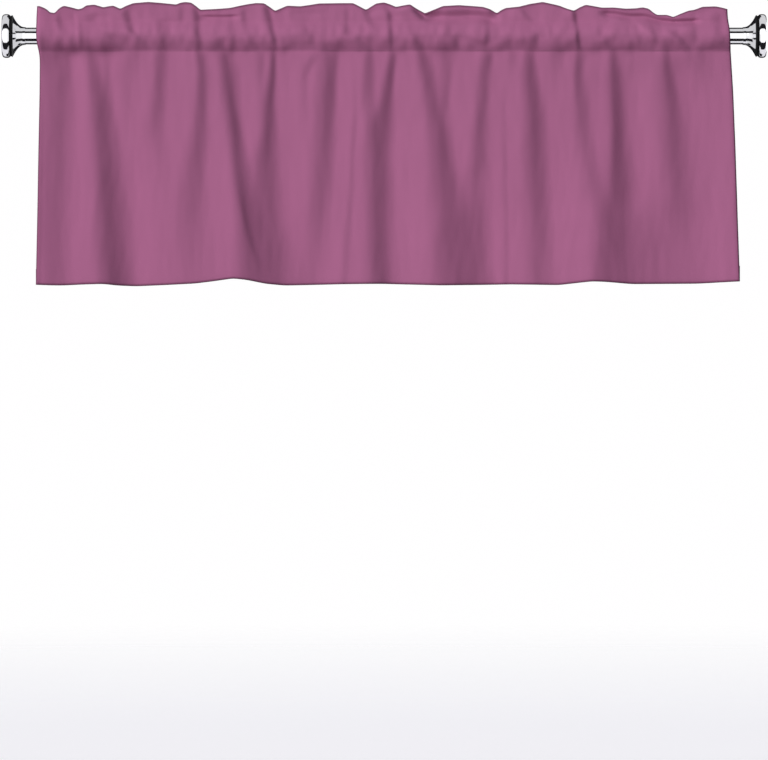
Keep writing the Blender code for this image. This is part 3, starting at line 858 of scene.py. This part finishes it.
class Wire:
    """A shader socket that can be used in Python sums."""

    def __init__(self, graph, socket):
        self.graph = graph
        self.socket = socket

    def __add__(self, other):
        return self.graph.maths("ADD", self, other)

    def __radd__(self, other):
        return self.graph.maths("ADD", other, self)

    def __sub__(self, other):
        return self.graph.maths("SUBTRACT", self, other)

    def __rsub__(self, other):
        return self.graph.maths("SUBTRACT", other, self)

    def __mul__(self, other):
        return self.graph.maths("MULTIPLY", self, other)


class Graph:
    """The node tree of one material, or of the world."""

    def __init__(self, name, for_world=False):
        owners = bpy.data.worlds if for_world else bpy.data.materials
        self.owner = owners.new(name)
        self.owner.use_nodes = True
        self.tree = self.owner.node_tree
        self.shader = next(node for node in self.tree.nodes if node.outputs)
        self.exit = next(node for node in self.tree.nodes if not node.outputs)

    def node(self, kind, inputs=None, output=0, **settings):
        """Adds a node with its inputs and settings, and returns one of its outputs."""
        made = self.tree.nodes.new(kind)
        for name, value in settings.items():
            setattr(made, name, value)
        for name, value in (inputs or {}).items():
            self.feed(made.inputs[name], value)
        return Wire(self, made.outputs[output])

    def feed(self, socket, value):
        """Links a wire to a socket, or sets its value."""
        if isinstance(value, Wire):
            self.tree.links.new(value.socket, socket)
        else:
            socket.default_value = value

    def maths(self, operation, first, second=0.0):
        """One Math node."""
        return self.node("ShaderNodeMath", {0: first, 1: second}, operation=operation)

    def mix(self, share, first, second):
        """A mix of two colours."""
        return self.node("ShaderNodeMix", {0: share, 6: first, 7: second}, 2, data_type="RGBA")

    def noise(self, place, scale, detail=2.0, roughness=0.5):
        """The value of a noise texture, about 0 to 1."""
        inputs = {"Vector": place, "Scale": scale, "Detail": detail, "Roughness": roughness}
        return self.node("ShaderNodeTexNoise", inputs)

    def limit(self, value, low, high):
        """Where value lies between low and high, as 0 to 1."""
        return self.node("ShaderNodeMapRange", {"Value": value, "From Min": low, "From Max": high})

    def bump(self, strength, distance, height):
        """A normal bent by a height."""
        return self.node("ShaderNodeBump", {"Strength": strength, "Distance": distance, "Height": height})

    def place(self):
        """The place on the object, in metres."""
        return self.node("ShaderNodeTexCoord", output=3)

    def stretched(self, place, scale):
        """A place scaled unevenly, for threads or lines that run one way."""
        return self.node("ShaderNodeMapping", {"Vector": place, "Scale": scale})

    def finish(self, **sockets):
        """Feeds the shader's sockets; a name's underscores stand for spaces."""
        for name, value in sockets.items():
            self.feed(self.shader.inputs[name.replace("_", " ")], value)
        return self.owner

    def show(self, shader):
        """Shows another shader in place of the one that the tree starts with."""
        self.tree.nodes.remove(self.shader)
        self.feed(self.exit.inputs["Surface"], shader)
        return self.owner


def tinted(colour, factor):
    """A colour made lighter or darker, with an alpha of 1."""
    return (*[min(part * factor, 1.0) for part in colour], 1.0)


def near(graph, part, places, reach):
    """1 where a coordinate is at one of two places, fading to 0 at reach from it."""
    away = graph.maths("MINIMUM", *[graph.maths("ABSOLUTE", part - place) for place in places])
    return graph.limit(away, reach, reach * 0.3)


def cloth_material(name, settings, across, along):
    """Matt plain-woven cloth with its threads, a little nap, and painted shade at its edges and folds.

    The painted shade lies at two places across the flat cloth and two along it, and the next two
    places along it are the pocket's seam, front and back, where blotchy painted shade lies.
    """
    graph = Graph(name)
    colour = tuple(settings.colour)
    flat = graph.node("ShaderNodeUVMap", uv_map="cloth")
    parts = [graph.node("ShaderNodeSeparateXYZ", {0: flat}, part) for part in range(2)]
    turns = 2.0 * math.pi / settings.thread_pitch
    warp, weft = [graph.maths("SINE", part * turns) for part in parts]
    half_warp, half_weft = [graph.maths("SINE", part * (turns / 2.0)) for part in parts]
    weave = warp * warp * 0.5 + weft * weft * 0.5 + half_warp * half_weft * 0.35
    slubs = graph.noise(graph.stretched(flat, (60.0, 900.0, 1.0)), 1.0)
    slubs_down = graph.noise(graph.stretched(flat, (900.0, 60.0, 1.0)), 1.0)
    mottle = graph.noise(graph.place(), 9.0, 4.0, 0.55)
    fuzz = graph.noise(graph.place(), 700.0, 2.0, 0.6)
    shade = graph.limit(mottle * 0.45 + slubs * 0.2 + slubs_down * 0.2 + fuzz * 0.15, 0.35, 0.65)
    base = graph.mix(shade, tinted(colour, 0.955), tinted(colour, 1.045))
    threads = graph.mix(graph.limit(weave, 0.0, 1.0), tinted(colour, 0.93), base)
    # painted shade: the cloth darkens along its two side edges, and along the hem's fold and the top fold
    side_painted_shade = near(graph, parts[0], across, 0.0027)
    painted_edge_shade = graph.maths("MAXIMUM", side_painted_shade, near(graph, parts[1], along[:2], 0.0046))
    # painted shade: blotchy darkening along the pocket's seam, front and back
    seam_painted_shade = near(graph, parts[1], along[2:], 0.0026) * graph.limit(mottle, 0.46, 0.64)
    return graph.finish(
        # painted shade: the colour runs towards a dark plum at the edges, the folds and the seam
        Base_Color=graph.mix(painted_edge_shade * 0.8 + seam_painted_shade * 0.3, threads, tinted(colour, 0.26)),
        Roughness=0.8 + graph.limit(fuzz, 0.3, 0.7) * 0.14,
        Normal=graph.bump(0.35, 0.0001, weave * 0.6 + slubs * 0.5 + slubs_down * 0.5 + fuzz * 0.4),
        Specular_IOR_Level=0.14,
        Sheen_Weight=0.12,
        Sheen_Roughness=0.5,
        Sheen_Tint=tinted(colour, 1.9),
    )


def thread_material(name, settings):
    """Sewing thread in the cloth's colour, twisted and slightly glossier."""
    graph = Graph(name)
    colour = tuple(settings.colour)
    place = graph.place()
    twist = graph.node("ShaderNodeTexWave", {"Vector": place, "Scale": 900.0}, bands_direction="DIAGONAL")
    fuzz = graph.noise(place, 1500.0)
    base = graph.mix(twist * 0.6 + fuzz * 0.4, tinted(colour, 0.8), tinted(colour, 1.08))
    bump = graph.bump(0.4, 0.0001, twist)
    return graph.finish(Base_Color=base, Roughness=0.55 + fuzz * 0.2, Normal=bump, Specular_IOR_Level=0.3)


def chrome_material(name, colour, along):
    """Bright plating with faint polishing lines round the axis, haze and a few smudges."""
    graph = Graph(name)
    place = graph.place()
    lines = graph.noise(graph.stretched(place, along), 1.0, 3.0, 0.6)
    haze = graph.noise(place, 35.0, 4.0, 0.6)
    smudge = graph.limit(graph.noise(place, 12.0, 3.0), 0.52, 0.72)
    rough = 0.035 + haze * 0.03 + smudge * 0.05
    base = graph.mix(graph.limit(haze, 0.3, 0.7), tinted(colour, 1.04), tinted(colour, 1.13))
    bump = graph.bump(0.05, 0.00005, lines)
    return graph.finish(Base_Color=base, Metallic=1.0, Roughness=rough, Normal=bump)


def painted_black_material(name):
    """Painted shade in the groove between disc and flare, and a painted dark reflection on the flare's steep
    lip.
    """
    graph = Graph(name)
    dark_speckle = graph.noise(graph.place(), 400.0, 3.0)
    base = graph.mix(dark_speckle, (0.002, 0.002, 0.002, 1.0), (0.007, 0.007, 0.008, 1.0))
    return graph.finish(Base_Color=base, Roughness=0.6 + dark_speckle * 0.2, Specular_IOR_Level=0.1)


# Pieces


def add_object(name, data):
    """Adds an object at the origin."""
    made = bpy.data.objects.new(name, data)
    bpy.context.scene.collection.objects.link(made)
    return made


def add_piece(name, mesh, material):
    """Adds a mesh as an object with one material."""
    mesh.materials.clear()
    mesh.materials.append(material)
    return add_object(name, mesh)


def seat(piece, slot, *nodes):
    """Rides a piece on the one body, and hides the parts that it replaces; its slot argument is not used."""
    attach(piece, "root")
    if nodes:
        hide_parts(*nodes)


class VALANCE_OT_cloth(bpy.types.Operator):
    """Makes the gathered cloth, with its hem, pocket and ruffled header, and its stitches"""

    bl_idname = "valance.cloth"
    bl_label = "Make the cloth"

    def execute(self, context):
        settings = context.scene.valance_cloth
        stitch = context.scene.valance_stitches
        grid = cloth_grid(settings)
        seam, stitched = [HEM_BACK_ROWS + HEM_FOLD_ROWS + row for row in (SEAM_ROW, STITCH_ROW)]
        back = stitched + HEADER_ROWS + TOP_FOLD_ROWS + HEADER_BACK_ROWS
        top = len(grid) - TAIL_ROWS - POCKET_BACK_ROWS - HEADER_BACK_ROWS - TOP_FOLD_ROWS // 2 - 1
        u, v = cloth_lengths(grid)
        # places along the cloth of the painted shade: hem fold, top fold, and the seam front and back
        along = (v[HEM_BACK_ROWS + 1], v[top], v[seam], v[-TAIL_ROWS - 1])
        woven = cloth_material("plum_cloth_woven", settings, (u[0], u[-1]), along)
        cloth = add_piece("valance_cloth", sheet_mesh("valance_cloth", grid), woven)
        skin = cloth.modifiers.new("Thickness", "SOLIDIFY")
        skin.thickness = settings.thickness
        skin.offset = 0.0
        seat(cloth, "plum_cloth", "valance")
        cloth.visible_glossy = False
        thread = thread_material("plum_thread", settings)
        rows = {
            "header_stitches": ((grid[stitched], 1.0), (grid[back], -1.0)),
            "pocket_stitches": ((grid[seam], 1.0), (grid[back + POCKET_BACK_ROWS], -1.0)),
            "hem_stitches": ((grid[1], -1.0),),
        }
        for name, lines in rows.items():
            piece = add_piece(name, stitch_mesh(name, lines, stitch), thread)
            seat(piece, "plum_cloth")
        return {"FINISHED"}


class VALANCE_OT_rod(bpy.types.Operator):
    """Makes the chrome rod and its two turned ends"""

    bl_idname = "valance.rod"
    bl_label = "Make the rod and its ends"

    def execute(self, context):
        rod = context.scene.valance_rod
        colour = tuple(rod.colour)
        low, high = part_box("rod")
        bar = [(low.x, 0.0), (low.x, rod.radius - BAR_EDGE), (low.x + BAR_EDGE, rod.radius)]
        bar += [(high.x - BAR_EDGE, rod.radius), (high.x, rod.radius - BAR_EDGE), (high.x, 0.0)]
        plating = chrome_material("rod_plating", colour, (60.0, 9.0, 9.0))
        piece = add_piece("rod_bar", turned_mesh("rod_bar", bar, rod.steps), plating)
        seat(piece, "rod_chrome", "rod")
        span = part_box("right_end")[1].x
        plating = chrome_material("end_plating", colour, (2500.0, 9.0, 9.0))
        # painted shade and dark reflection for the groove and the flare's steep lip
        groove = painted_black_material("end_painted_black")
        left = end_profile(rod)
        right = [(span - x, radius) for x, radius in left]
        for side, outline in (("left", left), ("right", right)):
            name = side + "_turned_end"
            piece = add_piece(name, turned_mesh(name, outline, rod.steps), plating)
            # painted shade and dark reflection: faces of the groove and the flare's steep lip take the black
            # material
            piece.data.materials.append(groove)
            for face in piece.data.polygons:
                inward = min(face.center.x, span - face.center.x)
                if PAINTED_BLACK_FROM < inward < PAINTED_BLACK_TO:
                    face.material_index = 1
            seat(piece, "end_chrome", side + "_end")
        return {"FINISHED"}


# Stage


def add_card(name, bm, colour, strength=1.0):
    """Adds a glowing or dark card to the stage, which only mirroring surfaces see."""
    graph = Graph(name)
    glow = graph.node("ShaderNodeEmission", {"Color": (*colour, 1.0), "Strength": strength})
    card = add_piece(name, finished_mesh(name, bm), graph.show(glow))
    for others in ("camera", "diffuse", "transmission", "volume_scatter", "shadow"):
        setattr(card, "visible_" + others, False)


def reflector(name, span, start, end, away, colour, strength):
    """A long card curved round the rod; it reaches from start to end in degrees above the front."""
    bm = bmesh.new()
    turn = math.radians(start)
    ends = [bm.verts.new((x, -away * math.cos(turn), away * math.sin(turn))) for x in span]
    round_axis = {"cent": (0.0, 0.0, 0.0), "axis": (-1.0, 0.0, 0.0), "angle": math.radians(end - start)}
    bmesh.ops.spin(bm, geom=ends + [bm.edges.new(ends)], steps=CARD_STEPS, **round_axis)
    add_card(name, bm, colour, strength)


def cone_height(y, turn):
    """How high, beside an end, its flare mirrors what the rod mirrors at turn from its front."""
    turn *= np.interp(y / BESIDE, *zip(*FLARE_BEND))
    height = 0.0
    for _ in range(40):
        height = math.tan(turn) * (math.sqrt(BESIDE**2 + y**2 + height**2) - y)
    return height


def flare_card(name, x, turns, ends, colour):
    """A card across the rod, beside an end, which its flare mirrors as a straight band."""
    bm = bmesh.new()
    edges = []
    for turn, end in zip(turns, ends):
        line = []
        for i in range(CARD_STEPS + 1):
            y = -CARD_FRONT + (end + CARD_FRONT) * i / CARD_STEPS
            height = cone_height(y, math.radians(abs(turn)))
            line.append(bm.verts.new((x, y, math.copysign(height, turn))))
        edges += [bm.edges.new(pair) for pair in zip(line, line[1:])]
    bmesh.ops.bridge_loops(bm, edges=edges)
    add_card(name, bm, colour)


def middle_card():
    """A grey card across the rod's middle, so that neither end mirrors the other's cards."""
    bm = bmesh.new()
    bmesh.ops.create_grid(bm, x_segments=1, y_segments=1, size=1.0)
    bmesh.ops.rotate(bm, matrix=Matrix.Rotation(math.pi / 2.0, 3, "Y"), verts=bm.verts)
    bmesh.ops.translate(bm, vec=(ROD_MIDDLE, 0.0, 0.0), verts=bm.verts)
    add_card("card_middle", bm, GREY)


def end_cards(side, x, inward):
    """All the cards round one end; inward is 1 or -1, towards the rod's middle."""
    for name, outer, inner, *rest in END_CARDS:
        reflector(name + side, sorted((x - outer * inward, x + inner * inward)), *rest)
    for name, *rest in FLARE_CARDS:
        flare_card(name + side, x + BESIDE * inward, *rest)


def stage_floor(settings):
    """A pale round floor that fades into the background."""
    middle = (ROD_MIDDLE, 0.0, settings.floor_z)
    bm = bmesh.new()
    bmesh.ops.create_circle(bm, cap_ends=True, cap_tris=True, segments=96, radius=7.0)
    bmesh.ops.translate(bm, vec=middle, verts=bm.verts)
    graph = Graph("floor_paint")
    place = graph.place()
    away = graph.node("ShaderNodeVectorMath", {0: place, 1: middle}, 1, operation="DISTANCE")
    colour = (*settings.floor_colour, 1.0)
    paint = graph.finish(
        Base_Color=graph.mix(graph.noise(place, 4.0, 3.0), tinted(settings.floor_colour, 0.99), colour),
        Roughness=1.0,
        Specular_IOR_Level=0.0,
        Alpha=1.0 - graph.limit(away, 2.0, 6.8),
        Emission_Color=colour,
        Emission_Strength=0.42,
    )
    floor = add_piece("floor", finished_mesh("floor", bm), paint)
    floor.visible_diffuse = False


def soft_world(settings):
    """White behind the object, grey for its chrome, and an even soft fill for its light."""
    graph = Graph("soft_white", for_world=True)

    def glow(colour, strength):
        return graph.node("ShaderNodeBackground", {"Color": (*colour, 1.0), "Strength": strength})

    def choose(ray, no, yes):
        path = graph.node("ShaderNodeLightPath", output=ray)
        return graph.node("ShaderNodeMixShader", {0: path, 1: no, 2: yes})

    height = graph.node("ShaderNodeSeparateXYZ", {0: graph.node("ShaderNodeTexCoord")}, 2)
    low, high = settings.fill_strength * 0.4, settings.fill_strength * 1.15
    rise = {"Value": height, "From Min": -0.5, "From Max": 0.35, "To Min": low, "To Max": high}
    fill = glow((0.97, 0.975, 1.06), graph.node("ShaderNodeMapRange", rise))
    lit = choose("Is Glossy Ray", fill, glow(GREY, 1.0))
    seen = choose("Is Camera Ray", lit, glow((1.0, 0.995, 1.0), 1.0))
    bpy.context.scene.world = graph.show(seen)


def sun(name, towards, energy, angle, colour=(1.0, 1.0, 1.0)):
    """A wide soft light that shines from one side; its angle is in degrees."""
    light = bpy.data.lights.new(name, "SUN")
    light.energy = energy
    light.angle = math.radians(angle)
    light.color = colour
    lamp = add_object(name, light)
    lamp.location = towards * 5.0
    lamp.rotation_mode = "QUATERNION"
    lamp.rotation_quaternion = towards.to_track_quat("Z", "Y")


def stage_lights(settings):
    """A key light from the left, in front and a little above, and a weaker one for the back."""
    turn, height = settings.key_turn, settings.key_height
    towards = (-math.sin(turn) * math.cos(height), -math.cos(turn) * math.cos(height), math.sin(height))
    sun("key", Vector(towards), settings.key_strength, 16.0, (1.0, 0.975, 0.995))
    sun("back", Vector((0.6, 0.8, 0.0)), settings.key_strength * 0.5, 30.0)


def front_camera(settings):
    """The camera of the photograph's view, level and straight in front."""
    wide = FRAME_WIDE / DOTS_PER_METRE
    data = bpy.data.cameras.new("front")
    data.type = "PERSP"
    data.sensor_width = 36.0
    data.lens = 36.0 * settings.camera_away / wide
    data.clip_end = 100.0
    camera = add_object("front", data)
    camera.location = (to_x(FRAME_WIDE / 2.0), -settings.camera_away - 0.01, to_z(FRAME_HIGH / 2.0))
    camera.rotation_euler = (math.pi / 2.0, 0.0, 0.0)
    bpy.context.scene.camera = camera


class VALANCE_OT_stage(bpy.types.Operator):
    """Makes the floor, the soft lights, the cards that the chrome mirrors, and the camera"""

    bl_idname = "valance.stage"
    bl_label = "Make the stage"

    def execute(self, context):
        settings = context.scene.valance_stage
        stage_floor(settings)
        soft_world(settings)
        stage_lights(settings)
        end_cards("left", LEFT_END_X, 1.0)
        end_cards("right", RIGHT_END_X, -1.0)
        middle_card()
        front_camera(settings)
        context.scene.view_settings.view_transform = "Standard"
        return {"FINISHED"}


class VALANCE_PT_panel(bpy.types.Panel):
    """The valance's sizes, colours and steps"""

    bl_label = "Valance"
    bl_idname = "VALANCE_PT_panel"
    bl_space_type = "VIEW_3D"
    bl_region_type = "UI"
    bl_category = "Valance"

    def draw(self, context):
        layout = self.layout
        for name in SETTINGS:
            box = layout.box()
            group = getattr(context.scene, name)
            for prop in group.bl_rna.properties:
                if prop.identifier not in {"rna_type", "name"}:
                    box.prop(group, prop.identifier)
        for operator in STEPS:
            layout.operator(operator)


SETTINGS = {
    "valance_cloth": ClothSettings,
    "valance_stitches": StitchSettings,
    "valance_rod": RodSettings,
    "valance_stage": StageSettings,
}
STEPS = ("valance.rod", "valance.cloth", "valance.stage")
CLASSES = (*SETTINGS.values(), VALANCE_OT_cloth, VALANCE_OT_rod, VALANCE_OT_stage, VALANCE_PT_panel)


def register():
    for cls in CLASSES:
        bpy.utils.register_class(cls)
    for name, group in SETTINGS.items():
        setattr(bpy.types.Scene, name, PointerProperty(type=group))


def unregister():
    for name in SETTINGS:
        delattr(bpy.types.Scene, name)
    for cls in reversed(CLASSES):
        bpy.utils.unregister_class(cls)


def main():
    register()
    bpy.ops.valance.rod()
    bpy.ops.valance.cloth()
    bpy.ops.valance.stage()


if __name__ == "__main__":
    main()
